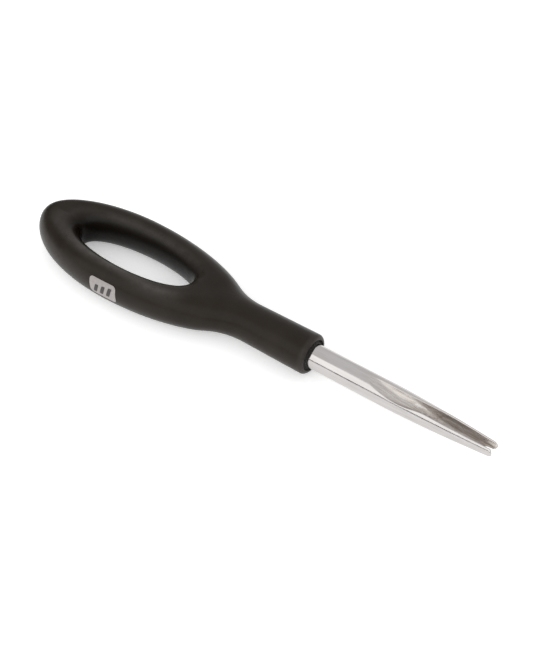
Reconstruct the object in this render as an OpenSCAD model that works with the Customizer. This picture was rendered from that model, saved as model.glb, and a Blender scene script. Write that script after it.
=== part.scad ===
// Knot tying tool: a steel tube with an open channel and a two-pronged end,
// glued into a soft-skinned handle whose back half is a closed finger loop.
// Everything is drawn along the tool's own axis, x = 0 at the neck's mouth and
// +x towards the tip, then shifted so that the part lies on z = 0.

/* [Finger loop] */
// Length of the handle from its back end to the neck's mouth
handle_l = 83.2; // [78:0.2:90]
// Outer width of the loop at its widest
loop_w = 24.7; // [23:0.1:28]
// Thickness of the loop, flat on the table
loop_t = 10.5; // [9.5:0.1:12]
// Width of the opening
hole_w = 10.6; // [9:0.1:12]
// Length of the opening
hole_l = 34.6; // [30:0.2:36]

/* [Neck] */
// Diameter of the neck where it meets the loop
neck_d = 9.5; // [9.4:0.05:10]
// Diameter of the neck at its mouth
mouth_d = 9.9; // [9.8:0.05:10.4]
// Radius of the lip at the mouth
lip_r = 1.0; // [0.8:0.05:1.0]
// Thickness of the soft skin
skin_t = 1.0; // [0.8:0.05:1.0]

/* [Tube] */
// Diameter of the tube where it leaves the handle
tube_d = 6.0; // [5.8:0.05:6.2]
// Diameter at the two-pronged tip
tip_d = 3.4; // [3.2:0.05:3.6]
// Length of tube outside the handle
tube_out = 47.0; // [46:0.5:50]
// Length of tube buried in the handle
tube_in = 20.0; // [15:0.5:20]
// Diameter of the buried length, ground down for the adhesive
bond_d = 5.8; // [5.7:0.05:5.9]
// Wall thickness of the tube
wall = 0.5; // [0.45:0.05:0.6]

/* [Badge] */
// Length of the badge along the loop
badge_l = 8.0; // [5:0.1:9]
// Height of the badge up the loop's side
badge_h = 4.8; // [3.5:0.1:5]
// Thickness of the badge above the skin
badge_t = 0.08; // [0.06:0.02:0.2]

/* [Hidden] */
$fn = 64;

// where the loop is widest, and how long the shoulder runs forward from there
x_wide = -54.8;
shoulder_l = 33.8;
shoulder_p = 2.15;
blend = 2.4;
// the ring's surface ends and the round neck starts here
x_neck = -22;
// centre of the opening and how far it reaches forward of that
x_hole = -53.0;
hole_front = 17.0;
hole_back = hole_l - hole_front;
// edge rounding of the loop's outside and of the opening
edge_out = 3.8;
edge_in = 2.6;
edge_pow = 1.83;
// adhesive recess at the mouth
recess = 0.9;
// the adhesive ends on the tube this far inside the mouth
bond_end = 0.3;
// the tube's full diameter starts this far outside the mouth, and the buried
// diameter widens to it over this length
cone_end = 0.3;
cone_l = 1.8;
// number of facets
n_fan = 8;
n_ring = 4*n_fan;
// shift from the tool's axis frame to the part's frame
to_x = (handle_l - tube_out)/2;
to_z = loop_t/2;
// the plain round part of the tube, before the taper
x_taper = 21;
taper_pow = 1.58;
// the scoop that opens the channel leans this far to the side
scoop_roll = 25;

function unit(v) = min(max(v, 0), 1);
function ease(v) = v*v*(3 - 2*v);
function smax(a, b, k) = 0.5*(a + b + sqrt((a - b)*(a - b) + k*k));

// neck radius along the tool, less an inset d
function neck_r(x, d) = neck_d/2 + (mouth_d - neck_d)/2*unit((x + 20)/18) - d;
// half width of the outline seen from above: an ellipse behind the widest
// point, and in front of it a shoulder that blends into the neck
function half_w(x, d) =
    let (w = loop_w/2 - d, r = neck_r(x, d), a = handle_l + x_wide - d)
    x < x_wide
    ? w*sqrt(max(0, 1 - pow(unit((x_wide - x)/a), 2)))
    : let (t = unit((x - x_wide)/shoulder_l), f = w*sqrt(max(0, 1 - pow(t, shoulder_p))))
      smax(f, r, blend) - (smax(w, r, blend) - w)*(1 - t) - (smax(0, r, blend) - r)*t;
function slope(x, d) = (half_w(x + 0.05, d) - half_w(x - 0.05, d))/0.1;
// half thickness along the tool
function half_t(x, d) =
    let (t = ease(unit((x - x_wide)/(-0.7*x_wide))))
    (loop_t/2 - d)*(1 - t) + neck_r(x, d)*t;
// distance in from the outline, to first order
function from_out(x, y, d) =
    let (w = loop_w/2 - d, a = handle_l + x_wide - d)
    x < x_wide
    ? let (p = (x_wide - x)/a, q = abs(y)/w, f = sqrt(p*p + q*q))
      f < 0.01 ? w : max(0, (1 - f)*f/sqrt(pow(p/a, 2) + pow(q/w, 2)))
    : max(0, (half_w(x, d) - abs(y))/sqrt(1 + pow(slope(x, d), 2)));
// distance out from the edge of the opening, to first order
function from_hole(x, y, d) =
    let (b = (x > x_hole ? hole_front : hole_back) + d, w = hole_w/2 + d)
    let (p = (x - x_hole)/b, q = y/w, f = sqrt(p*p + q*q))
    max(0, (f - 1)*f/sqrt(pow(p/b, 2) + pow(q/w, 2)));
// height of the surface above the middle plane
function top_z(x, y, d) =
    let (t = ease(unit((x - x_wide)/(x_neck - x_wide))))
    let (ro = (edge_out - d)*(1 - t) + neck_r(x, d)*t)
    let (fo = sqrt(max(0, 1 - pow(1 - unit(from_out(x, y, d)/ro), 2))))
    let (fi = pow(max(0, 1 - pow(1 - unit(from_hole(x, y, d)/(edge_in - d)), edge_pow)), 1/edge_pow))
    half_t(x, d)*fo*fi;

// radius of the opening along a spoke at angle a
function hole_at(a, d) =
    let (b = (cos(a) > 0 ? hole_front : hole_back) + d, w = hole_w/2 + d)
    1/sqrt(pow(cos(a)/b, 2) + pow(sin(a)/w, 2));
// radius of the outline along a spoke at angle a, by halving
function rim_at(a, d, lo, hi, n) =
    n == 0 ? lo :
    let (m = (lo + hi)/2, x = x_hole + m*cos(a), y = m*sin(a))
    let (inside = x > -handle_l + d && x < x_neck && abs(y) < half_w(x, d))
    inside ? rim_at(a, d, m, hi, n - 1) : rim_at(a, d, lo, m, n - 1);

// spokes run from the edge of the opening to the outline: first a fan that
// ends on the neck's first section, then the rest of the way round
function spokes(d, nb) =
    let (y0 = half_w(x_neck, d), a0 = atan2(y0, x_neck - x_hole))
    concat(
        [for (j = [0:2*n_fan])
            let (ya = y0*sin(90*(j/n_fan - 1)), a = atan2(ya, x_neck - x_hole))
            [a, hole_at(a, d), norm([x_neck - x_hole, ya])]],
        [for (m = [1:nb - 1])
            let (a = a0 + (360 - 2*a0)*(m/nb - 0.055*sin(720*m/nb)))
            [a, hole_at(a, d), rim_at(a, d, hole_at(a, d), 60, 24)]]);
function fan_z(j, d) = neck_r(x_neck, d)*cos(90*(j/n_fan - 1));
// one face of the ring, side = 1 above and -1 below
function ring_points(d, nb, nt, side) =
    let (s = spokes(d, nb))
    [for (k = [0:len(s) - 1]) for (t = [0:nt])
        let (f = (1 - cos(180*t/nt))/2, r = s[k][1] + (s[k][2] - s[k][1])*f)
        let (x = x_hole + r*cos(s[k][0]), y = r*sin(s[k][0]))
        let (z = t == 0 ? 0 : t < nt ? top_z(x, y, d) : k <= 2*n_fan ? fan_z(k, d) : 0)
        [x, y, side*z]];
function circle_points(x, r) =
    [for (i = [0:n_ring - 1]) [x, r*sin(90*(i/n_fan - 1)), r*cos(90*(i/n_fan - 1))]];

// indices into one shell: upper points, lower points, then the neck's rings
function n_spokes(nb) = 2*n_fan + nb;
function up_i(k, t, nt) = k*(nt + 1) + t;
function low_i(k, t, nb, nt) =
    t == 0 || (t == nt && (k == 0 || k >= 2*n_fan))
    ? up_i(k, t, nt) : n_spokes(nb)*(nt + 1) + up_i(k, t, nt);
function ring0_i(i, nb, nt) =
    i <= 2*n_fan ? up_i(i, nt, nt) : low_i(n_ring - i, nt, nb, nt);
function ring_i(g, i, nb, nt) =
    let (m = i % n_ring)
    g == 0 ? ring0_i(m, nb, nt) : 2*n_spokes(nb)*(nt + 1) + (g - 1)*n_ring + m;
function flip(f, yes) = yes ? [for (q = f) [for (i = [len(q) - 1:-1:0]) q[i]]] : f;
function shell_size(nb, nt, rings) = 2*n_spokes(nb)*(nt + 1) + rings*n_ring;
// faces of the upper and lower sides and of the neck up to ring "rings"
function shell_faces(nb, nt, rings) =
    let (ns = n_spokes(nb))
    concat(
        [for (k = [0:ns - 1]) for (t = [0:nt - 1]) let (k2 = (k + 1) % ns)
            for (q = [[[k, t], [k2, t], [k2, t + 1]], [[k, t], [k2, t + 1], [k, t + 1]]])
            [for (v = q) up_i(v[0], v[1], nt)]],
        [for (k = [0:ns - 1]) for (t = [0:nt - 1]) let (k2 = (k + 1) % ns)
            for (q = [[[k2, t + 1], [k2, t], [k, t]], [[k, t + 1], [k2, t + 1], [k, t]]])
            [for (v = q) low_i(v[0], v[1], nb, nt)]],
        [for (g = [0:1:rings - 1]) for (i = [0:n_ring - 1])
            for (q = [[[g, i], [g + 1, i + 1], [g + 1, i]], [[g, i], [g, i + 1], [g + 1, i + 1]]])
            [for (v = q) ring_i(v[0], v[1], nb, nt)]]);
function shift_faces(f, by) = [for (q = f) [for (i = q) i + by]];

// stations along the neck, as [x, radius], outside and inside the skin
outer_path = concat(
    [for (x = [-17, -12, -7, -2]) [x, neck_r(x, 0)]],
    [for (a = [0:22.5:90]) [-lip_r + lip_r*sin(a), mouth_d/2 - lip_r + lip_r*cos(a)]],
    [[0, mouth_d/2 - skin_t - 0.12], [-0.18, mouth_d/2 - skin_t]]);
inner_path = [for (x = [-17, -12, -7, -recess]) [x, neck_r(x, skin_t)]];
function path_points(p) = [for (q = p) for (v = circle_points(q[0], q[1])) v];
outer_nb = 44;
outer_nt = 10;
inner_nb = 30;
inner_nt = 7;

module handle_core() {
    shell = concat(
        ring_points(skin_t, inner_nb, inner_nt, 1),
        ring_points(skin_t, inner_nb, inner_nt, -1),
        path_points(inner_path));
    last = len(inner_path);
    end_cap = [[for (i = [n_ring - 1:-1:0]) ring_i(last, i, inner_nb, inner_nt)]];
    color([0.16, 0.16, 0.17]) place() difference() {
        polyhedron(shell, flip(concat(shell_faces(inner_nb, inner_nt, last), end_cap), true));
        along(-recess - tube_in) cylinder(h = tube_in + 2, r = tube_d/2);
    }
}

module grip_skin() {
    out = concat(
        ring_points(0, outer_nb, outer_nt, 1),
        ring_points(0, outer_nb, outer_nt, -1),
        path_points(outer_path));
    inn = concat(
        ring_points(skin_t, inner_nb, inner_nt, 1),
        ring_points(skin_t, inner_nb, inner_nt, -1),
        path_points(inner_path));
    lo = len(outer_path);
    li = len(inner_path);
    base = len(out);
    mouth = [for (i = [0:n_ring - 1])
        for (q = [[[0, i], [1, i + 1], [1, i]], [[0, i], [0, i + 1], [1, i + 1]]])
        [for (v = q) v[0] == 0
            ? ring_i(lo, v[1], outer_nb, outer_nt)
            : base + ring_i(li, v[1], inner_nb, inner_nt)]];
    faces = concat(
        shell_faces(outer_nb, outer_nt, lo),
        mouth,
        shift_faces(flip(shell_faces(inner_nb, inner_nt, li), true), base));
    color([0.09, 0.085, 0.08]) place() polyhedron(concat(out, inn), flip(faces, true));
}

// radius of the tube along its length
function tube_r(x) =
    tube_d/2 - (tube_d - tip_d)/2*pow(unit((x - x_taper)/(tube_out - x_taper)), taper_pow);
taper_x = [for (i = [0:8]) x_taper + (tube_out - x_taper)*i/8];

module tube_body() {
    back = -recess - tube_in;
    along(0) rotate_extrude() polygon(concat(
        [[0, back], [bond_d/2 - 0.4, back], [bond_d/2, back + 0.4],
         [bond_d/2, cone_end - cone_l], [tube_d/2, cone_end]],
        [for (x = taper_x) [tube_r(x), x]],
        [[0, tube_out]]));
}
// half widths of the channel's mouth seen from above, near side and far side,
// first where the scoop runs into the trough and then over the trough itself
throat_near = [[21.5, 1.6], [24, 2.45], [26, 2.35], [28, 2.1], [30, 1.88], [32.5, 1.72], [34, 1.68]];
throat_far = [[34, 1.28], [32.5, 1.03], [30, 0.85], [28, 0.75], [24, 0.5], [21.5, 0.3]];
trough_near = [[32, 1.73], [36, 1.62], [40, 1.50], [44, 1.32], [50, 1.05]];
trough_far = [[50, 1.05], [44, 1.32], [40, 1.50], [37.5, 1.58], [35, 1.40], [32, 1.0]];
module open_top(z0, near, far) {
    translate([0, 0, z0]) linear_extrude(height = 5) polygon(concat(
        [for (q = near) [q[0], -q[1]]], far));
}
module channel() {
    // the scoop: a long egg that dips into the tube from above
    rotate([scoop_roll, 0, 0]) translate([32, 0, 0]) rotate([0, 10.3, 0]) along(0)
        rotate_extrude() polygon(concat(
            [[0, -16.2]],
            [for (a = [-80:10:0]) [2.15*cos(a), 16.2*sin(a)]],
            [[0, 0]]));
    // the trough inside the tapered part
    along(0) rotate_extrude() polygon([
        [0, 31.9], [2.14, 31.9], [tube_r(38) - wall, 38],
        [tube_r(43) - wall, 43], [tube_r(50) - wall, 50], [0, 50]]);
    // their open tops
    open_top(1.2, throat_near, throat_far);
    open_top(0.3, trough_near, trough_far);
    // the bottom is cut away between the two prongs
    translate([tube_out - 2.0, 0, -5]) linear_extrude(height = 5) {
        circle(r = 1.1);
        translate([0, -1.1]) square([4, 2.2]);
    }
}
module prong_outline() {
    translate([0, 6, 0]) rotate([90, 0, 0]) linear_extrude(height = 12) {
        translate([-40, -5]) square([40 + tube_out - 1.3, 10]);
        translate([tube_out - 1.3, 0]) circle(r = 1.3);
    }
}
module knot_tube() {
    color([0.72, 0.71, 0.70]) place() difference() {
        intersection() {
            tube_body();
            prong_outline();
        }
        // hollow behind the channel
        along(-recess - tube_in - 1) cylinder(h = recess + tube_in + 13, r = tube_d/2 - wall);
        channel();
    }
}

// radius of the tube where it widens at the mouth
function cone_r(x) = tube_d/2 - (tube_d - bond_d)/2*unit((cone_end - x)/cone_l);

// a thin film along the socket that ends in a fillet in the handle's mouth
module bond_ring() {
    r = mouth_d/2 - skin_t;
    color([0.10, 0.09, 0.08]) place() along(0) rotate_extrude() polygon([
        [bond_d/2, -recess - tube_in + 0.4], [tube_d/2, -recess - tube_in + 0.4],
        [tube_d/2, -recess], [r, -recess], [r, -recess + 0.25],
        [(tube_d/2 + r)/2, -recess + 0.35], [cone_r(-bond_end), -bond_end],
        [bond_d/2, cone_end - cone_l]]);
}

// a patch of the loop's near flank at position x and height z, raised by h
badge_x = -52.9;
badge_z = 0.6;
function flank(x, z, h) =
    let (c = sqrt(max(0, 1 - pow(z/half_t(x, 0), 2))))
    let (s = (half_w(x + 0.1, 0) - half_w(x - 0.1, 0))/0.2)
    let (g = sqrt(1 + s*s), ny = c, nz = z/half_t(x, 0)*edge_out/half_t(x, 0))
    let (m = norm([ny, nz]))
    [x - h*s/g*ny/m,
     -(half_w(x, 0) - edge_out*(1 - c)*g) - h/g*ny/m,
     z + h*nz/m];
// rounded patch: rows run along the loop, from height z0 to z1
module flank_patch(x0, x1, z0, z1, rc, h0, h1, nu, nv, lean) {
    rows = [for (j = [0:nv])
        let (z = (z0 + z1)/2 - (z1 - z0)/2*cos(180*j/nv))
        let (e = max(0, abs(z - (z0 + z1)/2) - ((z1 - z0)/2 - rc)))
        let (cut = rc - sqrt(max(0, rc*rc - e*e)), mid = lean*(z - (z0 + z1)/2))
        [x0 + cut + mid, x1 - cut + mid, z]];
    m = (nu + 1)*(nv + 1);
    pts = concat(
        [for (h = [h0, h1]) for (r = rows) for (i = [0:nu])
            flank(r[0] + (r[1] - r[0])*i/nu, r[2], h)]);
    function id(s, j, i) = s*m + j*(nu + 1) + i;
    faces = concat(
        [for (s = [0, 1]) for (j = [0:nv - 1]) for (i = [0:nu - 1])
            for (q = [[[j, i], [j, i + 1], [j + 1, i + 1]], [[j, i], [j + 1, i + 1], [j + 1, i]]])
            let (f = [for (v = q) id(s, v[0], v[1])])
            s == 0 ? [f[2], f[1], f[0]] : f],
        [for (i = [0:nu - 1]) for (q = [
            [id(0, 0, i), id(0, 0, i + 1), id(1, 0, i + 1)],
            [id(0, 0, i), id(1, 0, i + 1), id(1, 0, i)],
            [id(0, nv, i + 1), id(0, nv, i), id(1, nv, i)],
            [id(0, nv, i + 1), id(1, nv, i), id(1, nv, i + 1)]]) q],
        [for (j = [0:nv - 1]) for (q = [
            [id(0, j + 1, 0), id(0, j, 0), id(1, j, 0)],
            [id(0, j + 1, 0), id(1, j, 0), id(1, j + 1, 0)],
            [id(0, j, nu), id(0, j + 1, nu), id(1, j + 1, nu)],
            [id(0, j, nu), id(1, j + 1, nu), id(1, j, nu)]]) q]);
    polyhedron(pts, flip(faces, true));
}
module badge_plate() {
    color([0.80, 0.76, 0.76]) place() flank_patch(
        badge_x - badge_l/2, badge_x + badge_l/2,
        badge_z - badge_h/2, badge_z + badge_h/2, 1.0, 0, badge_t, 12, 12, 0);
}
// three plain slanted bars
module badge_mark() {
    color([0.12, 0.11, 0.11]) place() for (k = [-1:1]) flank_patch(
        badge_x + 2.0*k - 0.5, badge_x + 2.0*k + 0.5,
        badge_z - badge_h*(0.30 - 0.04*k), badge_z + badge_h*(0.22 + 0.06*k),
        0.2, badge_t, badge_t + 0.04, 3, 8, 0.35);
}

// turn a shape drawn up z so that it runs along +x, starting at x0
module along(x0) {
    translate([x0, 0, 0]) rotate([0, 90, 0]) children();
}
module place() {
    translate([to_x, 0, to_z]) children();
}

handle_core();
grip_skin();
knot_tube();
bond_ring();
badge_plate();
badge_mark();
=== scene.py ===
"""Looks of a knot tying tool: a soft black handle whose back half is a finger loop, and a
tapered steel tube with an open channel and a two-pronged tip, glued into the handle's mouth.

Shapes are worked out in millimetres in the tool's own frame: x = 0 at the handle's mouth and
+x towards the tip, z up, with the tool's axis at y = z = 0. put_mesh() turns that into metres
in the part's frame.
"""
import math

import bpy
import numpy as np
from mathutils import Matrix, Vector


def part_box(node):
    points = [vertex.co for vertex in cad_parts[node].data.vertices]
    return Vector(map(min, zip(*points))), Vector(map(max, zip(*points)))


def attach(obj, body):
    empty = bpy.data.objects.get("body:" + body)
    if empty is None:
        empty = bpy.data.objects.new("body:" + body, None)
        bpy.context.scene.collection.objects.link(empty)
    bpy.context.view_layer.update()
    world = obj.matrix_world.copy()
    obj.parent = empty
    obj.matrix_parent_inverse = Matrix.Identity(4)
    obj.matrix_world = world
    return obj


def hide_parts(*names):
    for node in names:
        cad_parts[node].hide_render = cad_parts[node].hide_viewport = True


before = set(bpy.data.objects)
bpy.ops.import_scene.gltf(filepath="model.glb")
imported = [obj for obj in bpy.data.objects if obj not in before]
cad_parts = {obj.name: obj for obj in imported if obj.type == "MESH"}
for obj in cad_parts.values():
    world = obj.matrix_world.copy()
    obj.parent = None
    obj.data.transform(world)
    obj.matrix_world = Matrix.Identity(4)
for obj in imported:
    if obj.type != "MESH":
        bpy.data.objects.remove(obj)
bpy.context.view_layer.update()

MOUTH_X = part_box("grip_skin")[1].x
AXIS_Y = sum(corner.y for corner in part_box("knot_tube"))/2
AXIS_Z = sum(corner.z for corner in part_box("knot_tube"))/2

# ---------------------------------------------------------------- sizes, mm
# the loop, its outline seen from above and its opening
HANDLE_L, LOOP_W, LOOP_T = 83.2, 24.7, 10.5
WIDE_X, SHOULDER_L, SHOULDER_P, BLEND = -54.8, 33.8, 2.15, 2.4
HOLE_W, HOLE_FRONT, HOLE_BACK, HOLE_X = 10.6, 17.0, 17.6, -53.0
# how far in from each edge the rounding reaches; CORE_EDGE is that of the core at the opening
EDGE_OUT, EDGE_IN, EDGE_POW = 3.8, 3.15, 1.95
CORE_EDGE = (2.6, 1.83)
# the neck: where shoulder and neck are joined, where its rings begin, where it starts to widen
JOIN_X, NECK_X, NECK_D = (-26.0, -17.5), -22.0, 9.5
WIDEN_X, WIDEN_L, OVAL_L = -20.0, 18.0, 8.0
# the mouth: lip, skin, recess for the adhesive, and the fine bead on the inner edge
MOUTH_D, LIP_R, SKIN_T, RECESS, BEAD_R = 9.9, 1.0, 1.0, 0.9, 0.11
# the tube: free and buried length, its cone at the mouth and its taper
TUBE_D, TIP_D, BOND_D, TUBE_OUT, TUBE_IN, WALL = 6.0, 3.4, 5.8, 47.0, 20.0, 0.5
CONE_X, CONE_L, TAPER_X, TAPER_POW = 0.3, 1.8, 21.0, 1.58
# the fork: half the slot's width and its depth, and how far back the prongs' ends round off
SLOT_R, SLOT_L, PRONG_L, PRONG_H = 1.1, 2.0, 1.35, 1.48
# the adhesive: where its film starts, and the gap that keeps it off skin and steel
FILM_X, FILM_GAP_OUT, FILM_GAP_IN = -20.4, 0.005, 0.01


# ---------------------------------------------------------------- small helpers
def unit(v):
    """v held between 0 and 1."""
    return np.clip(v, 0.0, 1.0)


def ease(v):
    """v squared times (3 - 2v): from 0 to 1 with level ends."""
    return v*v*(3 - 2*v)


def soft_max(a, b, k):
    """The larger of a and b, with the corner between them rounded over k."""
    return 0.5*(a + b + np.sqrt((a - b)**2 + k*k))


def through(stations, x, soften=0.9):
    """A smooth line through [(x, value), ...]: straight between stations, averaged over
    soften to either side."""
    sx, sv = np.array(stations, float).T
    offsets = np.linspace(-soften, soften, 9)
    return np.interp(np.asarray(x)[..., None] + offsets, sx, sv).mean(-1)


def strips(ids, flip=False):
    """The quads between neighbouring rows and columns of a grid of point numbers."""
    quads = np.stack([ids[:-1, :-1], ids[:-1, 1:], ids[1:, 1:], ids[1:, :-1]], -1).reshape(-1, 4)
    return quads[:, ::-1] if flip else quads


def wrapped(ids, axis):
    """The grid of point numbers with its first row or column repeated at the end."""
    return np.concatenate([ids, np.take(ids, [0], axis)], axis)


def put_mesh(name, points, quads, material, **attributes):
    """One smooth mesh from points (n, 3) in mm and quads. Points that share a place are welded,
    a quad with one welded side becomes a triangle, and one with more is dropped. attributes
    are one number a point."""
    _, first, number = np.unique(
        np.round(points, 5), axis=0, return_index=True, return_inverse=True)
    quads = number.reshape(-1)[quads]
    same = quads == np.roll(quads, -1, axis=1)
    tris = np.concatenate([
        np.roll(quads, -k, axis=1)[same[:, k] & (same.sum(1) == 1)][:, [0, 2, 3]]
        for k in range(4)])
    quads = quads[~same.any(1) & (quads[:, 0] != quads[:, 2]) & (quads[:, 1] != quads[:, 3])]
    place = points[first]*0.001 + [MOUTH_X, AXIS_Y, AXIS_Z]
    mesh = bpy.data.meshes.new(name)
    mesh.from_pydata(place.tolist(), [], quads.tolist() + tris.tolist())
    for key, values in attributes.items():
        layer = mesh.attributes.new(key, "FLOAT", "POINT")
        layer.data.foreach_set("value", values[first].astype(np.float32))
    mesh.polygons.foreach_set("use_smooth", np.ones(len(mesh.polygons), bool))
    mesh.update()
    piece = bpy.data.objects.new(name, mesh)
    bpy.context.scene.collection.objects.link(piece)
    piece.data.materials.append(material)
    return piece


# ---------------------------------------------------------------- handle
def neck_radius(x, inset):
    """Half the neck's diameter, which widens evenly to the mouth's, less the inset."""
    return NECK_D/2 + (MOUTH_D - NECK_D)/2*unit((x - WIDEN_X)/WIDEN_L) - inset


def shoulder_width(x, inset):
    """The outline seen from above: a half ellipse behind the widest point; in front of it a
    shoulder, w times the root of 1 - t to the power p, softly joined to the neck's radius."""
    w, r, a = LOOP_W/2 - inset, neck_radius(x, inset), HANDLE_L + WIDE_X - inset
    back = w*np.sqrt(np.clip(1 - unit((WIDE_X - x)/a)**2, 0, None))
    t = unit((x - WIDE_X)/SHOULDER_L)
    front = soft_max(w*np.sqrt(np.clip(1 - t**SHOULDER_P, 0, None)), r, BLEND)
    front = front - (soft_max(w, r, BLEND) - w)*(1 - t) - (soft_max(0, r, BLEND) - r)*t
    return np.where(x < WIDE_X, back, front)


def half_width(x, inset):
    """The outline, with its last stretch before the neck drawn as a cubic that leaves the
    shoulder and meets the neck without a corner."""
    x = np.asarray(x, float)
    (x0, x1), nudge = JOIN_X, 0.01
    run, u = x1 - x0, unit((x - x0)/(x1 - x0))
    y0, y1 = shoulder_width(np.array(x0), inset), neck_radius(x1, inset)
    slope0 = (shoulder_width(np.array(x0 + nudge), inset)
              - shoulder_width(np.array(x0 - nudge), inset))/(2*nudge)
    slope1 = (MOUTH_D - NECK_D)/(2*WIDEN_L)
    cubic = (y0*(1 + 2*u)*(1 - u)**2 + slope0*run*u*(1 - u)**2 + y1*u*u*(3 - 2*u)
             + slope1*run*u*u*(u - 1))
    return np.where(x < x0, shoulder_width(x, inset),
                    np.where(x > x1, neck_radius(x, inset), cubic))


def half_height(x, inset):
    """Half the loop's thickness, easing to the neck's radius in front of the widest point."""
    t = ease(unit((x - WIDE_X)/(-0.7*WIDE_X)))
    return (LOOP_T/2 - inset)*(1 - t) + neck_radius(x, inset)*t


def in_from_outline(x, y, inset):
    """Distance in from the outline to first order: the field over the length of its slope."""
    w, a, nudge = LOOP_W/2 - inset, HANDLE_L + WIDE_X - inset, 0.05
    p, q = (WIDE_X - x)/a, np.abs(y)/w
    f = np.maximum(np.hypot(p, q), 1e-3)
    back = np.where(f < 0.01, w, (1 - f)*f/np.maximum(np.hypot(p/a, q/w), 1e-6))
    slope = (half_width(x + nudge, inset) - half_width(x - nudge, inset))/(2*nudge)
    front = (half_width(x, inset) - np.abs(y))/np.sqrt(1 + slope**2)
    return np.clip(np.where(x < WIDE_X, back, front), 0, None)


def out_from_opening(x, y, inset):
    """Distance out from the edge of the opening, which is two half ellipses, to first order."""
    b, w = np.where(x > HOLE_X, HOLE_FRONT, HOLE_BACK) + inset, HOLE_W/2 + inset
    p, q = (x - HOLE_X)/b, y/w
    f = np.hypot(p, q)
    return np.clip((f - 1)*f/np.hypot(p/b, q/w), 0, None)


def loop_height(x, y, inset):
    """Height over the middle plane: the half thickness, times a quarter circle in from the
    outline, times a quarter of a fuller curve out from the opening. It turns into the neck's
    oval over the last OVAL_L. The inner face keeps the core's own curve at the opening."""
    t = ease(unit((x - WIDE_X)/(NECK_X - WIDE_X)))
    reach_out = (EDGE_OUT - inset)*(1 - t) + neck_radius(x, inset)*t
    reach_in, power = (EDGE_IN, EDGE_POW) if inset == 0 else CORE_EDGE
    fo = np.sqrt(np.clip(1 - (1 - unit(in_from_outline(x, y, inset)/reach_out))**2, 0, None))
    fi = 1 - (1 - unit(out_from_opening(x, y, inset)/(reach_in - inset)))**power
    loop = half_height(x, inset)*fo*np.clip(fi, 0, None)**(1/power)
    oval = neck_radius(x, inset)*np.sqrt(np.clip(1 - (y/half_width(x, inset))**2, 0, None))
    join = ease(unit((x - NECK_X + OVAL_L)/OVAL_L))
    return loop*(1 - join) + oval*join


def loop_sheet(inset, fan, around, across):
    """The loop's upper face as spokes from the opening's edge to the outline. The first
    2 fan + 1 spokes end on the neck's first section, the rest go round behind. Returns points
    (spokes, across + 1, 3); the lower face is the same with z turned over."""
    far_out, halvings, crowding = 60.0, 44, 0.055
    y0 = half_width(NECK_X, inset)
    turn = 90*(np.arange(2*fan + 1)/fan - 1)
    side = y0*np.sin(np.radians(turn))
    front = np.arctan2(side, NECK_X - HOLE_X)
    m = np.arange(1, around)/around
    back = front[-1] + (2*np.pi - 2*front[-1])*(m - crowding*np.sin(4*np.pi*m))
    angle = np.concatenate([front, back])
    c, s = np.cos(angle), np.sin(angle)
    b, w = np.where(c > 0, HOLE_FRONT, HOLE_BACK) + inset, HOLE_W/2 + inset
    start = 1/np.hypot(c/b, s/w)
    # each spoke's end is found by halving the stretch in which it leaves the outline
    end, high = start.copy(), np.full_like(start, far_out)
    for _ in range(halvings):
        mid = (end + high)/2
        x, y = HOLE_X + mid*c, mid*s
        inside = (x > -HANDLE_L + inset) & (x < NECK_X) & (np.abs(y) < half_width(x, inset))
        end, high = np.where(inside, mid, end), np.where(inside, high, mid)
    end[:2*fan + 1] = np.hypot(NECK_X - HOLE_X, side)
    f = (1 - np.cos(np.pi*np.arange(across + 1)/across))/2
    radius = start[:, None] + (end - start)[:, None]*f
    x, y = HOLE_X + radius*c[:, None], radius*s[:, None]
    z = loop_height(x, y, inset)
    z[:, [0, -1]] = 0
    z[:2*fan + 1, -1] = neck_radius(NECK_X, inset)*np.cos(np.radians(turn))
    z[[0, 2*fan], -1] = 0
    return np.stack([x, y, z], -1)


def neck_sections(x, radius, extra, fan):
    """Rings across the tool at x with the given radius; extra is added to the half width."""
    turn = np.radians(90*(np.arange(4*fan)/fan - 1))
    side = (radius + extra)[:, None]*np.sin(turn)
    up = radius[:, None]*np.cos(turn)
    up = np.where(np.abs(up) < 1e-9, 0, up)
    return np.stack([np.broadcast_to(x[:, None], side.shape), side, up], -1)


def handle_shell(inset, x, radius, fan, around, across, flip):
    """Points and quads of one face of the handle: the loop's upper and lower sheets and the
    neck's rings at x. flip turns the faces inwards."""
    sheet = loop_sheet(inset, fan, around, across)
    under = sheet*[1, 1, -1]
    extra = np.where(x < JOIN_X[1], half_width(x, inset) - neck_radius(x, inset), 0)
    rings = neck_sections(x, radius, extra, fan)
    points = np.concatenate([part.reshape(-1, 3) for part in (sheet, under, rings)])
    n = sheet.shape[0]*sheet.shape[1]
    ids = np.arange(n).reshape(sheet.shape[:2])
    ring_ids = 2*n + np.arange(rings.shape[0]*rings.shape[1]).reshape(rings.shape[:2])
    quads = np.concatenate([
        strips(wrapped(ids, 0), flip), strips(wrapped(ids + n, 0), not flip),
        strips(wrapped(ring_ids, 1), not flip)])
    return points, quads


def grip_sheen_and_shade(x, y, z):
    """Painted highlight (a bell-shaped band along the loop's crest, broader on the near side, and a
    sheen on the lip), which also makes the skin smoother, and painted shade (the wall of the opening),
    each from 0 to 1."""
    out = out_from_opening(x, y, 0)
    share = out/(out + in_from_outline(x, y, 0) + 1e-6)
    # painted highlight: a band along the crest, faded out towards the neck and the back, and below it
    # a painted sheen on the lip
    crest = 0.40 + 0.16*unit((x + 50)/9)
    near_band = np.exp(-((share - crest)/0.17)**2)
    far_band = 0.5*np.exp(-((share - 0.24)/0.13)**2)
    band = np.where(y < 0, near_band, far_band)
    fade = ease(unit((-30 - x)/10))*(0.45 + 0.55*ease(unit((x + 72)/12)))
    lip = 0.4*ease(unit((x + 1.6)/1.2))
    # painted shade: the wall of the opening is darkened towards near black
    opening_shade = ease(1 - unit(out/2.6))*(x < NECK_X)
    return unit(band*(z > 0)*fade + lip), opening_shade


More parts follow.
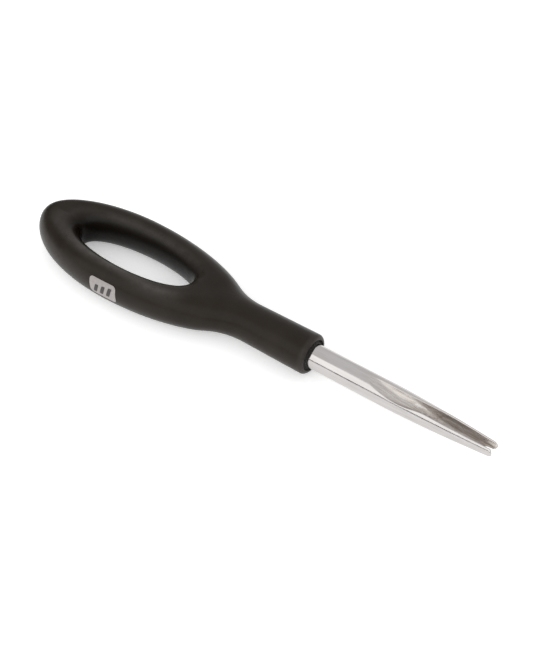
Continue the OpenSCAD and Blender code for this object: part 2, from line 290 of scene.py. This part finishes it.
def grip_surface():
    """The soft skin: the outer shell, the rounded lip at the mouth with a fine bead inside it,
    and the inner face one skin thickness in, joined at the bottom of the mouth's recess. Also
    returns grip_sheen_and_shade() of its points: painted highlight and painted shade."""
    fan, around, across, inner_across = 26, 170, 34, 16
    turn = np.radians(np.linspace(0, 90, 13))
    lip_x, lip_r = -LIP_R + LIP_R*np.sin(turn), MOUTH_D/2 - LIP_R + LIP_R*np.cos(turn)
    turn = np.radians(np.linspace(20, 180, 7))
    bore_r = MOUTH_D/2 - SKIN_T
    bead_x, bead_r = -BEAD_R + BEAD_R*np.cos(turn), bore_r - 0.01 - BEAD_R*np.sin(turn)
    straight = np.linspace(NECK_X, -LIP_R, 56)[:-1]
    path_x = np.concatenate([straight, lip_x, bead_x, [-0.5, -RECESS]])
    path_r = np.concatenate([neck_radius(straight, 0), lip_r, bead_r,
                             [bore_r, neck_radius(-RECESS, SKIN_T)]])
    out_pts, out_quads = handle_shell(0, path_x, path_r, fan, around, across, False)
    in_x = np.linspace(NECK_X, -RECESS, 14)
    in_pts, in_quads = handle_shell(
        SKIN_T, in_x, neck_radius(in_x, SKIN_T), fan, around, inner_across, True)
    points = np.concatenate([out_pts, in_pts])
    quads = np.concatenate([out_quads, in_quads + len(out_pts)])
    return points, quads, *grip_sheen_and_shade(*points.T)


# ---------------------------------------------------------------- tube
SCOOP_X = 14.6
# where the channel's two edges lie round the tube, in degrees up from the -y side
NEAR_EDGE = [(14.6, 62), (16.2, 57), (19, 44), (21.5, 35), (24, 33.5), (26, 36.5), (28, 44.5),
             (30, 50.5), (32, 50), (36, 49), (50, 49)]
FAR_EDGE = [(14.6, 101), (19, 100), (22, 98), (26, 99), (28.8, 104), (31.4, 108), (34, 118),
            (37.5, 131), (50, 131)]
# half the turn of the channel's floor in degrees: under 90 a shallow hollow, over 90 a hollow
# with undercut sides, and from ROUND_X on the tube's own bore
FLOOR_TURN = [(14.6, 20), (16.2, 24), (19, 32), (22, 41), (26, 58), (28.8, 89), (31, 124),
              (33.5, 141), (36, 140), (38, 139), (50, 139)]
ROUND_X = 36.5
# thickness of the wall at the channel's edges
EDGE_WALL = [(14.6, 0.0), (25, 0.02), (28.8, 0.2), (31, 0.36), (34, WALL), (50, WALL)]
# points of one section: on the outside and again on the floor, and on each rounded edge
N_FACE, N_RIM = 150, 9


def tube_radius(x):
    """The tube's radius: buried diameter, a short cone at the mouth, the full diameter, and in
    front of TAPER_X less by a power of the share of the way to the tip."""
    taper = (TUBE_D - TIP_D)/2*unit((x - TAPER_X)/(TUBE_OUT - TAPER_X))**TAPER_POW
    return TUBE_D/2 - taper - (TUBE_D - BOND_D)/2*unit((CONE_X - x)/CONE_L)


def tip_reach(side):
    """How far the wall reaches along the tool at an angle round it, side = degrees from the
    bottom: prongs rounded in side view, and between them a slot with a round end. The result
    is the mean over 3 degrees to either side."""
    angle = np.radians(side[..., None] + np.linspace(-3, 3, 7))
    y, z = TIP_D/2*np.sin(angle), -TIP_D/2*np.cos(angle)
    prong = TUBE_OUT - PRONG_L + PRONG_L*np.sqrt(np.clip(1 - (z/PRONG_H)**2, 0.02, None))
    slot = TUBE_OUT - SLOT_L - np.sqrt(np.clip(SLOT_R**2 - y**2, 0, None))
    in_slot = (np.abs(y) < SLOT_R) & (z < 0)
    return np.where(in_slot, np.minimum(prong, slot), prong).mean(-1)


def section_parts(cols):
    """cols split into the outside, the near edge, the floor and the far edge."""
    return np.split(cols, [N_FACE, N_FACE + N_RIM, 2*N_FACE + N_RIM])


def tube_sections(x):
    """The closed section at each x: y and z with one row for each point of section_parts().
    The outside runs from the far edge down round the bottom to the near edge; the floor is a
    circular arc hung between the two edges; cubic curves round the edges off. Behind the
    channel the floor is the outside itself."""
    # columns lie denser near the slot's sides
    spread = np.linspace(-1, 1, N_FACE)
    spread = (spread - 0.09*np.sin(np.pi*spread))[:, None]
    # middle and half of the angle between the edges, which open up as a quarter circle
    near, far = through(NEAR_EDGE, x), through(FAR_EDGE, x)
    grow = np.sqrt(1 - (1 - unit((x - SCOOP_X)/3.4))**2)
    middle = np.radians((near + far)/2) + np.radians(4)*(1 - grow)
    half = np.radians((far - near)/2)*grow + math.radians(0.5)*(1 - grow)
    # half the floor's turn, which starts as that of the outside
    ramp = ease(unit((x - SCOOP_X)/1.1))
    turn = -half + (np.radians(through(FLOOR_TURN, x)) + half)*ramp
    turn = np.where(x >= ROUND_X, np.pi - half, turn)

    radius, wall = tube_radius(x), through(EDGE_WALL, x)
    soft = np.minimum(0.26, 0.45*radius*np.minimum(half, 0.5))
    cut = soft/(radius - wall/2)
    angle = np.pi + spread*(np.pi - half - cut)
    outside = np.stack([radius*np.sin(angle), radius*np.cos(angle)], -1)
    side, top = (radius - wall)*np.sin(half), (radius - wall)*np.cos(half)
    bend = side/np.where(np.abs(turn) < 1e-3, 1e-3, np.sin(turn))
    trim = np.minimum(cut*(radius - wall/2)/np.abs(bend), 0.3*np.abs(turn))
    angle = -spread*(np.abs(turn) - trim)*np.sign(turn)
    floor = np.stack([bend*np.sin(angle), top - bend*(np.cos(angle) - np.cos(turn))], -1)[::-1]

    u = (np.arange(1, N_RIM + 1)/(N_RIM + 1))[:, None, None]
    weights = (1 - u)**3, 3*u*(1 - u)**2, 3*u*u*(1 - u), u**3

    def rim(*corners):
        """The cubic curve through the first and last corner, drawn towards the others."""
        return sum(weight*corner for weight, corner in zip(weights, corners))

    def outer_corner(sign):
        return np.stack([sign*radius*np.sin(half), radius*np.cos(half)], -1)

    def inner_corner(sign):
        return np.stack([sign*side, top], -1)
    near_rim = rim(outside[-1], outer_corner(-1), inner_corner(-1), floor[0])
    far_rim = rim(floor[-1], inner_corner(1), outer_corner(1), outside[0])
    line = np.concatenate([outside, near_rim, floor, far_rim])
    # the section leans so that its middle lies at that angle up from the -y side
    lean = np.pi/2 - middle
    y = line[..., 0]*np.cos(lean) - line[..., 1]*np.sin(lean)
    z = line[..., 0]*np.sin(lean) + line[..., 1]*np.cos(lean)
    return y, z


def tip_rows(x0, y0, z0):
    """Rows that carry the last section, at x0, on to the tip. Each column ends where
    tip_reach() says, and the outside and the floor close there on the middle of the wall in a
    quarter circle, over close_from..1 of the way."""
    round_r, longest, close_from = 0.25, 0.7, 0.7
    outside, near_rim, floor, far_rim = section_parts(np.arange(len(y0)))
    way = np.linspace(0, 1, 52)[1:, None]
    share, close = np.minimum(way/close_from, 1.0), unit((way - close_from)/(1 - close_from))
    side = np.degrees(np.arctan2(y0, -z0))
    side[floor] = side[outside][::-1]
    reach = tip_reach(side)
    # the rounding is longer where the end runs at a slant
    arc = np.gradient(np.radians(side[outside]))*TIP_D/2
    slope = np.gradient(reach[outside])/np.maximum(arc, 1e-6)
    round_x = np.full(len(side), round_r)
    round_x[outside] = np.minimum(round_r*np.sqrt(1 + slope**2), longest)
    round_x[floor] = round_x[outside][::-1]
    x = x0 + share*(reach - round_x - x0) + round_x*np.sin(close*np.pi/2)
    # each point's place across the wall, from -1 on the floor to 1 on the outside
    place = (np.hypot(y0, z0) - (tube_radius(x0) - WALL/2))/(WALL/2)
    radius = tube_radius(x) - WALL/2 + place*WALL/2*np.cos(close*np.pi/2)
    angle = np.arctan2(y0, z0)
    tip = np.stack([x, radius*np.sin(angle), radius*np.cos(angle)], -1)
    # in the last row, partners across the wall share one place
    partner = np.concatenate([floor[::-1], near_rim[::-1], outside[::-1], far_rim[::-1]])
    tip[-1] = (tip[-1] + tip[-1][partner])/2
    return tip


def tube_surface():
    """Sections across the tube carried along it, closed by a cap at the buried end and by
    tip_rows() at the tip. Also returns how far each point is inside the channel: 1 on its
    floor, falling to 0 over the rounded edges and over the scoop's first millimetre."""
    rows = np.concatenate([
        [-RECESS - TUBE_IN, FILM_X, -10, -1.5, -0.9, -0.3, 0.0, CONE_X], np.linspace(1, 14, 10),
        np.linspace(14.3, 17, 34)[:-1], np.linspace(17, 40, 118)])
    y, z = tube_sections(rows)
    body = np.stack([np.broadcast_to(rows, y.shape), y, z], -1).transpose(1, 0, 2)
    grid = np.concatenate([body, tip_rows(rows[-1], body[-1, :, 1], body[-1, :, 2])])
    n_row, n_col = grid.shape[:2]
    ids = np.arange(n_row*n_col).reshape(n_row, n_col)
    cap = np.full((1, n_col), n_row*n_col)
    quads = strips(wrapped(np.concatenate([cap, ids]), 1), True)
    points = np.concatenate([grid.reshape(-1, 3), [[rows[0], 0, 0]]])
    rise = np.linspace(0.1, 0.9, N_RIM)
    hollow = np.concatenate([np.zeros(N_FACE), rise, np.ones(N_FACE), rise[::-1]])
    hollow = hollow*ease(unit((grid[..., 0] - SCOOP_X)/1.0))
    return points, quads, np.append(hollow.ravel(), 0)


# ---------------------------------------------------------------- adhesive
def bond_surface():
    """A film round the buried tube that ends in a lumpy fillet in the mouth: a closed profile
    turned about the axis. Its open face climbs the tube by a squared cosine of the turn, and
    a few waves round and across raise and lower it."""
    n, n_face, highest = 240, 13, math.radians(-35)
    turn = np.linspace(0, 2*np.pi, n, endpoint=False)
    bore_r, steel_r = MOUTH_D/2 - SKIN_T - FILM_GAP_OUT, TUBE_D/2 - FILM_GAP_IN
    f = np.linspace(0, 1, n_face)[:, None]
    lumps = (0.10*np.sin(5*turn + 1.3) + 0.07*np.sin(11*turn + 4*f)
             + 0.06*np.sin(23*turn + 9*f + 0.7) + 0.05*np.sin(41*turn - 13*f + 2.1)
             + 0.04*np.sin(67*turn + 21*f))
    climb = 0.45 + 0.75*np.clip(np.cos(turn - highest), 0, 1)**2
    face_x = -0.38 + climb*f**1.6 + 0.6*lumps*np.sin(np.pi*np.clip(f, 0.08, 0.93))
    face_r = (bore_r + (steel_r - bore_r)*f)*np.ones(n)

    def ring(x, r):
        return np.full((1, n), x), np.full((1, n), r)
    before = [ring(FILM_X, BOND_D/2), ring(FILM_X, steel_r), ring(-RECESS + 0.02, steel_r),
              ring(-RECESS + 0.02, bore_r)]
    x, r = (np.concatenate(parts) for parts in zip(*before, (face_x, face_r), ring(-1.5, BOND_D/2)))
    points = np.stack([x, r*np.sin(turn), r*np.cos(turn)], -1)
    ids = np.arange(points.shape[0]*n).reshape(-1, n)
    quads = strips(wrapped(wrapped(ids, 0), 1), True)
    return points.reshape(-1, 3), quads


# ---------------------------------------------------------------- materials
def paint(name, colour, roughness, metallic=0.0):
    """A new material with a Principled shader: the material, its node tree and the shader."""
    material = bpy.data.materials.new(name)
    material.use_nodes = True
    tree = material.node_tree
    shader = tree.nodes["Principled BSDF"]
    shader.inputs["Base Color"].default_value = (*colour, 1)
    shader.inputs["Roughness"].default_value = roughness
    shader.inputs["Metallic"].default_value = metallic
    return material, tree, shader


def node(tree, kind, **properties):
    """A node of that kind with the given properties."""
    made = tree.nodes.new(kind)
    for key, value in properties.items():
        setattr(made, key, value)
    return made


def grain(tree, scale, stretch=(1, 1, 1), detail=3.0, rough=0.55, warp=0.0):
    """Noise on object coordinates, scale in features a metre, drawn out by 1/stretch."""
    where = node(tree, "ShaderNodeTexCoord")
    drawn = node(tree, "ShaderNodeMapping")
    drawn.inputs["Scale"].default_value = stretch
    noise = node(tree, "ShaderNodeTexNoise")
    for key, value in (("Scale", scale), ("Detail", detail), ("Roughness", rough),
                       ("Distortion", warp)):
        noise.inputs[key].default_value = value
    tree.links.new(where.outputs["Object"], drawn.inputs["Vector"])
    tree.links.new(drawn.outputs["Vector"], noise.inputs["Vector"])
    return noise.outputs["Fac"]


def carried(tree, attribute):
    """The number that the mesh carries at each point under that name."""
    return node(tree, "ShaderNodeAttribute", attribute_name=attribute).outputs["Fac"]


def span(tree, value, low, high, to_low, to_high):
    """value mapped from low..high to to_low..to_high, held at the ends."""
    m = node(tree, "ShaderNodeMapRange", clamp=True)
    for key, number in zip(("From Min", "From Max", "To Min", "To Max"),
                           (low, high, to_low, to_high)):
        m.inputs[key].default_value = number
    tree.links.new(value, m.inputs["Value"])
    return m.outputs["Result"]


def blend_colours(tree, factor, first, second):
    """Mix of two colours, or of a colour and a socket, by factor."""
    m = node(tree, "ShaderNodeMix", data_type="RGBA")
    tree.links.new(factor, m.inputs["Factor"])
    for socket, value in ((m.inputs[6], first), (m.inputs[7], second)):
        if isinstance(value, tuple):
            socket.default_value = (*value, 1)
        else:
            tree.links.new(value, socket)
    return m.outputs[2]


def sums(tree, operation, first, second):
    """first and second put together by a Math node; either may be a number or a socket."""
    m = node(tree, "ShaderNodeMath", operation=operation)
    for socket, value in zip(m.inputs, (first, second)):
        if isinstance(value, (int, float)):
            socket.default_value = value
        else:
            tree.links.new(value, socket)
    return m.outputs["Value"]


def bump(tree, height, distance, strength, onto=None):
    """A bump of the given height in metres, on top of another where onto is given."""
    b = node(tree, "ShaderNodeBump")
    b.inputs["Distance"].default_value = distance
    b.inputs["Strength"].default_value = strength
    tree.links.new(height, b.inputs["Height"])
    if onto is not None:
        tree.links.new(onto, b.inputs["Normal"])
    return b.outputs["Normal"]


def soft_black_rubber():
    """Satin brown-black skin: slow tone changes, a painted highlight that makes the crest and lip
    paler and smoother there, fine moulding grain, a few faint scuffs, and painted shade that makes the
    opening's wall near black."""
    material, tree, shader = paint("soft_black_rubber", (0.0235, 0.0186, 0.0146), 0.38)
    link = tree.links.new
    dark, pale = (0.0165, 0.0122, 0.0088), (0.0240, 0.0188, 0.0145)
    # near black for the painted shade on the opening's wall, and the paler grey of the painted
    # highlight
    painted_shade_black, painted_sheen_grey = (0.0050, 0.0034, 0.0022), (0.078, 0.071, 0.065)
    slow = grain(tree, 90, detail=4)
    patch = span(tree, grain(tree, 420, detail=5, rough=0.65), 0.30, 0.75, 0.45, 1.0)
    # painted highlight: the worn mask lightens the crest and lip towards the paler grey and also makes
    # them smoother
    sheen_and_rub = sums(tree, "MULTIPLY", carried(tree, "worn"), patch)
    tone = blend_colours(tree, span(tree, slow, 0.35, 0.68, 0, 1), dark, pale)
    # painted shade: the wall of the opening is darkened towards near black
    tone = blend_colours(tree, carried(tree, "unworn"), tone, painted_shade_black)
    link(blend_colours(tree, sheen_and_rub, tone, painted_sheen_grey), shader.inputs["Base Color"])
    scuff = grain(tree, 900, stretch=(0.16, 1, 1), detail=6, rough=0.7, warp=0.6)
    rough = span(tree, slow, 0.3, 0.7, 0.27, 0.36)
    rough = sums(tree, "ADD", rough, span(tree, scuff, 0.60, 0.74, 0, 0.12))
    rough = sums(tree, "SUBTRACT", rough, sums(tree, "MULTIPLY", sheen_and_rub, 0.07))
    link(rough, shader.inputs["Roughness"])
    skin = bump(tree, grain(tree, 9000, detail=3, rough=0.6), 0.000012, 0.55)
    skin = bump(tree, grain(tree, 340, detail=3, rough=0.5), 0.00010, 0.42, skin)
    link(skin, shader.inputs["Normal"])
    shader.inputs["IOR"].default_value = 1.22
    return material


def drawn_steel():
    """Bright tube drawn lengthwise: fine lines and small tone changes outside; the channel's
    floor is duller and stained brown in streaks, more so towards the tip."""
    material, tree, shader = paint("drawn_steel", (0.52, 0.505, 0.495), 0.24, 1.0)
    link = tree.links.new
    dull, bright, line_tone = (0.49, 0.465, 0.455), (0.555, 0.535, 0.525), (0.60, 0.59, 0.585)
    stain_pale, stain_brown = (0.66, 0.61, 0.57), (0.37, 0.31, 0.265)
    stain_from, stain_full = MOUTH_X + 0.018, MOUTH_X + 0.031
    along = node(tree, "ShaderNodeSeparateXYZ")
    link(node(tree, "ShaderNodeTexCoord").outputs["Object"], along.inputs["Vector"])
    deep = span(tree, along.outputs["X"], stain_from, stain_full, 0.30, 1.0)
    lines = grain(tree, 2600, stretch=(0.035, 1, 1), detail=5, rough=0.65)
    slow = grain(tree, 240, stretch=(0.3, 1, 1), detail=3)
    clean = blend_colours(tree, span(tree, slow, 0.35, 0.7, 0, 1), dull, bright)
    clean = blend_colours(tree, span(tree, lines, 0.42, 0.62, 0, 0.5), clean, line_tone)
    streak = grain(tree, 2600, stretch=(0.07, 1, 1), detail=5, rough=0.7, warp=0.5)
    stained = blend_colours(tree, span(tree, streak, 0.42, 0.60, 0, 1), stain_pale, stain_brown)
    hollow = carried(tree, "hollow")
    blotch = span(tree, grain(tree, 700, stretch=(0.2, 1, 1), detail=4), 0.3, 0.6, 0.55, 1.0)
    amount = sums(tree, "MULTIPLY", sums(tree, "MULTIPLY", hollow, deep), blotch)
    link(blend_colours(tree, amount, clean, stained), shader.inputs["Base Color"])
    link(span(tree, amount, 0.0, 1.0, 1.0, 0.35), shader.inputs["Metallic"])
    rough = span(tree, lines, 0.35, 0.65, 0.11, 0.19)
    rough = sums(tree, "ADD", rough, sums(tree, "MULTIPLY", amount, 0.14))
    rough = sums(tree, "ADD", rough, sums(tree, "MULTIPLY", hollow, 0.05))
    link(rough, shader.inputs["Roughness"])
    scratches = grain(tree, 900, stretch=(0.12, 1, 1), detail=5, warp=0.5)
    fine = bump(tree, scratches, 0.00005, 0.25, bump(tree, lines, 0.000010, 0.35))
    link(fine, shader.inputs["Normal"])
    return material


def set_adhesive():
    """Black adhesive set rough: small bubbles and crumbs, a few pale specks, uneven gloss."""
    material, tree, shader = paint("set_adhesive", (0.014, 0.0125, 0.0115), 0.5)
    link = tree.links.new
    black, brown_black, speck_grey = (0.004, 0.0035, 0.003), (0.020, 0.018, 0.016), (0.11, 0.105, 0.10)
    crumbs = grain(tree, 3600, detail=5, rough=0.7)
    tone = blend_colours(tree, span(tree, crumbs, 0.4, 0.62, 0, 1), black, brown_black)
    specks = span(tree, grain(tree, 5200, detail=2, rough=0.5), 0.62, 0.70, 0, 1)
    link(blend_colours(tree, specks, tone, speck_grey), shader.inputs["Base Color"])
    link(span(tree, crumbs, 0.3, 0.7, 0.34, 0.72), shader.inputs["Roughness"])
    link(bump(tree, crumbs, 0.00030, 1.0), shader.inputs["Normal"])
    shader.inputs["IOR"].default_value = 1.3
    return material


def pale_foil():
    """The badge's ground: pinkish grey foil with a faint grain, duller in small worn spots."""
    material, tree, shader = paint("pale_foil", (0.37, 0.34, 0.335), 0.45)
    link = tree.links.new
    shade, sheen, worn_grey = (0.29, 0.262, 0.256), (0.36, 0.328, 0.322), (0.22, 0.20, 0.195)
    flecks = grain(tree, 2600, detail=4, rough=0.6)
    tone = blend_colours(tree, span(tree, flecks, 0.38, 0.66, 0, 1), shade, sheen)
    worn = span(tree, grain(tree, 1100, detail=5, rough=0.7), 0.62, 0.72, 0, 0.35)
    link(blend_colours(tree, worn, tone, worn_grey), shader.inputs["Base Color"])
    link(span(tree, flecks, 0.3, 0.7, 0.34, 0.5), shader.inputs["Roughness"])
    link(bump(tree, flecks, 0.00001, 0.5), shader.inputs["Normal"])
    return material


def dark_ink():
    """The badge's bars: matt dark print, a little thin in places."""
    material, tree, shader = paint("dark_ink", (0.035, 0.031, 0.03), 0.55)
    link = tree.links.new
    full, thinned = (0.028, 0.025, 0.024), (0.09, 0.08, 0.078)
    thin = grain(tree, 2400, detail=4, rough=0.65)
    link(blend_colours(tree, span(tree, thin, 0.5, 0.75, 0, 1), full, thinned),
         shader.inputs["Base Color"])
    link(span(tree, thin, 0.3, 0.7, 0.45, 0.62), shader.inputs["Roughness"])
    link(bump(tree, thin, 0.00001, 0.5), shader.inputs["Normal"])
    return material


def core_plastic():
    """Hard black core under the skin: matt, with a fine moulding grain."""
    material, tree, shader = paint("core_plastic", (0.02, 0.019, 0.018), 0.5)
    link = tree.links.new
    dark, pale = (0.016, 0.015, 0.0145), (0.026, 0.024, 0.023)
    fine = grain(tree, 3200, detail=3)
    link(blend_colours(tree, fine, dark, pale), shader.inputs["Base Color"])
    link(span(tree, fine, 0.3, 0.7, 0.44, 0.58), shader.inputs["Roughness"])
    link(bump(tree, fine, 0.00002, 0.5), shader.inputs["Normal"])
    return material


# ---------------------------------------------------------------- pieces
def make_pieces():
    """The skin, tube and adhesive as finished pieces, and finishes for the nodes kept as they
    are."""
    # the skin's two masks: worn is a painted highlight along the crest and lip that also makes the
    # skin smoother there, and the other is painted shade on the wall of the opening
    points, quads, worn, unworn = grip_surface()
    grip = put_mesh("grip", points, quads, soft_black_rubber(), worn=worn, unworn=unworn)
    points, quads, hollow = tube_surface()
    tube = put_mesh("tube", points, quads, drawn_steel(), hollow=hollow)
    points, quads = bond_surface()
    bond = put_mesh("bond", points, quads, set_adhesive())
    for piece, cad, slot in ((grip, "grip_skin", "grip_rubber"), (tube, "knot_tube", "tube_steel"),
                             (bond, "bond_ring", "adhesive")):
        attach(piece, "root")
        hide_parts(cad)
    for cad, finish in (("handle_core", core_plastic()), ("badge_plate", pale_foil()),
                        ("badge_mark", dark_ink())):
        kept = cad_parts[cad]
        kept.data.materials.clear()
        kept.data.materials.append(finish)


# ---------------------------------------------------------------- stage
def flat(name, corners, material):
    """One flat quad through the corners, in metres."""
    mesh = bpy.data.meshes.new(name)
    mesh.from_pydata(corners, [], [(0, 1, 2, 3)])
    made = bpy.data.objects.new(name, mesh)
    bpy.context.scene.collection.objects.link(made)
    made.data.materials.append(material)
    return made


def make_floor():
    """A pale floor just under the tool, lifted a little by a glow of its own."""
    side, low, glow = 4.0, -0.00003, 0.35
    material, _, shader = paint("pale_floor", (0.97, 0.97, 0.97), 0.9)
    shader.inputs["Specular IOR Level"].default_value = 0.0
    shader.inputs["Emission Color"].default_value = (1, 1, 1, 1)
    shader.inputs["Emission Strength"].default_value = glow
    floor = flat("floor", [(-side, -side, low), (side, -side, low), (side, side, low),
                           (-side, side, low)], material)


def make_front_light(away=1.1, lowest=9, highest=57, centre_x=-0.28, width=2.2, radiance=0.72):
    """A soft rectangular light in front, away metres off, that spans lowest..highest degrees up."""
    foot, head = (Vector((0, -away*math.cos(rise), away*math.sin(rise)))
                  for rise in (math.radians(lowest), math.radians(highest)))
    height, centre = (head - foot).length, (foot + head)/2
    data = bpy.data.lights.new("front_light", "AREA")
    data.shape, data.size, data.size_y = "RECTANGLE", width, height
    data.energy = radiance*width*height*math.pi
    lamp = bpy.data.objects.new("front_light", data)
    bpy.context.scene.collection.objects.link(lamp)
    lamp.location = (centre_x, centre.y, centre.z)
    lamp.rotation_mode = "QUATERNION"
    lamp.rotation_quaternion = Vector((0, -centre.y, -centre.z)).to_track_quat("-Z", "Y")
    lamp.visible_camera = False


def make_dark_cards():
    """A long low strip far in front and a tall card behind the loop, both dark, which only
    show as reflections in the steel and the skin."""
    dark, _, _ = paint("dark_edge", (0.02, 0.02, 0.02), 0.9)
    half, front = 3.0, 1.3
    low, high = (front*math.tan(math.radians(rise)) for rise in (2.5, 9.5))
    strip = flat("dark_edge", [(-half, -front, low), (half, -front, low), (half, -front, high),
                               (-half, -front, high)], dark)
    behind, half, high = -0.9, 0.7, 1.0
    card = flat("dark_card", [(behind, -half, 0.0), (behind, half, 0.0), (behind, half, high),
                              (behind, -half, high)], dark)
    for made in (strip, card):
        made.visible_camera = made.visible_diffuse = made.visible_shadow = False


def make_stage():
    """The floor, a soft grey surround, the front light and the dark cards."""
    grey = 0.84
    scene = bpy.context.scene
    make_floor()
    world = bpy.data.worlds.new("grey_surround")
    world.use_nodes = True
    background = world.node_tree.nodes["Background"]
    background.inputs["Color"].default_value = (grey, grey, grey, 1)
    background.inputs["Strength"].default_value = 1.0
    scene.world = world
    make_front_light()
    make_dark_cards()
    scene.view_settings.view_transform = "Standard"
    scene.view_settings.look = "None"


def make_camera(turn=35.65, rise=46.96, away=0.27283, lens=66.65, shift=(-0.0720, 0.0453)):
    """A camera away metres from the mouth, turned towards the tip and raised, in degrees."""
    turn, rise = math.radians(turn), math.radians(rise)
    back = Vector((math.sin(turn)*math.cos(rise), -math.cos(turn)*math.cos(rise), math.sin(rise)))
    data = bpy.data.cameras.new("view")
    data.sensor_width = 36
    data.lens = lens
    data.shift_x, data.shift_y = shift
    data.clip_start, data.clip_end = 0.01, 20
    camera = bpy.data.objects.new("view", data)
    bpy.context.scene.collection.objects.link(camera)
    camera.location = Vector((MOUTH_X, AXIS_Y, AXIS_Z)) + back*away
    camera.rotation_mode = "QUATERNION"
    camera.rotation_quaternion = (-back).to_track_quat("-Z", "Y")
    bpy.context.scene.camera = camera


make_camera()
make_stage()
make_pieces()
